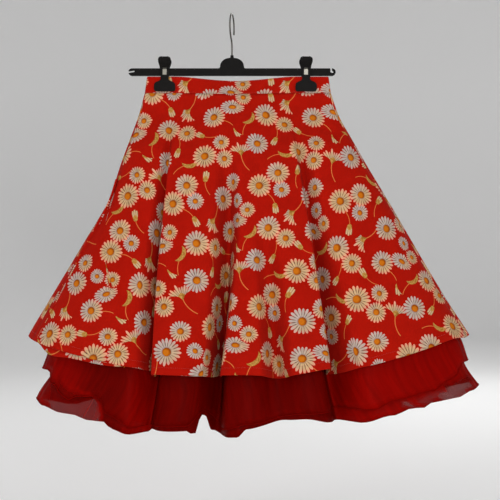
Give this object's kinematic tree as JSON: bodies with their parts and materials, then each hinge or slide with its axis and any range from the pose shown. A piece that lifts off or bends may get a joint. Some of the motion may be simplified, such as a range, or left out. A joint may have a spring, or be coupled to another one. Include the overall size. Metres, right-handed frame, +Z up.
{
  "type": "circle skirt with petticoat on a clip hanger",
  "caption": "Knee-length circle skirt in printed cotton over a two-tier sheer petticoat, hung by its waistband from a clip hanger with a wire hook.",
  "frame": {"origin": "inside top of the hanger's hook, where it rests on a rail", "axes": "+X along the hanger bar to the picture's right, +Y towards the skirt's back, +Z up"},
  "size_m": [0.8285, 0.3093, 0.7632],
  "materials": {
    "cotton": "plain-weave red cotton with a cream daisy print",
    "organza": "sheer dark red nylon organza",
    "plastic": "black injection-moulded plastic",
    "steel": "bright nickel-plated steel",
    "zip": "red zip, lacquered slider and pull on a woven tape",
    "button": "red polyester resin"
  },
  "bodies": {
    "root": {"band_button": "button", "clip_left_back": "plastic", "clip_left_front": "plastic", "clip_left_spring": "steel", "clip_right_back": "plastic", "clip_right_front": "plastic", "clip_right_spring": "steel", "hanger_bar": "plastic", "hook": "steel", "lower_ruffle_back": "organza", "lower_ruffle_front": "organza", "petticoat_yoke_back": "organza", "petticoat_yoke_front": "organza", "skirt_back_left": "cotton", "skirt_back_right": "cotton", "skirt_front": "cotton", "upper_ruffle_back": "organza", "upper_ruffle_front": "organza", "waistband": "cotton", "zip_slider": "zip", "zip_tape": "zip"},
    "zip_pull": {"zip_pull": "zip"}
  },
  "joints": [
    {"name": "zip_pull_swing", "type": "hinge", "parent": "root", "child": "zip_pull", "pos_m": [0.00988, 0.02517, -0.15415], "axis": [1, 0, 0], "range_deg": [0, 150]}
  ]
}
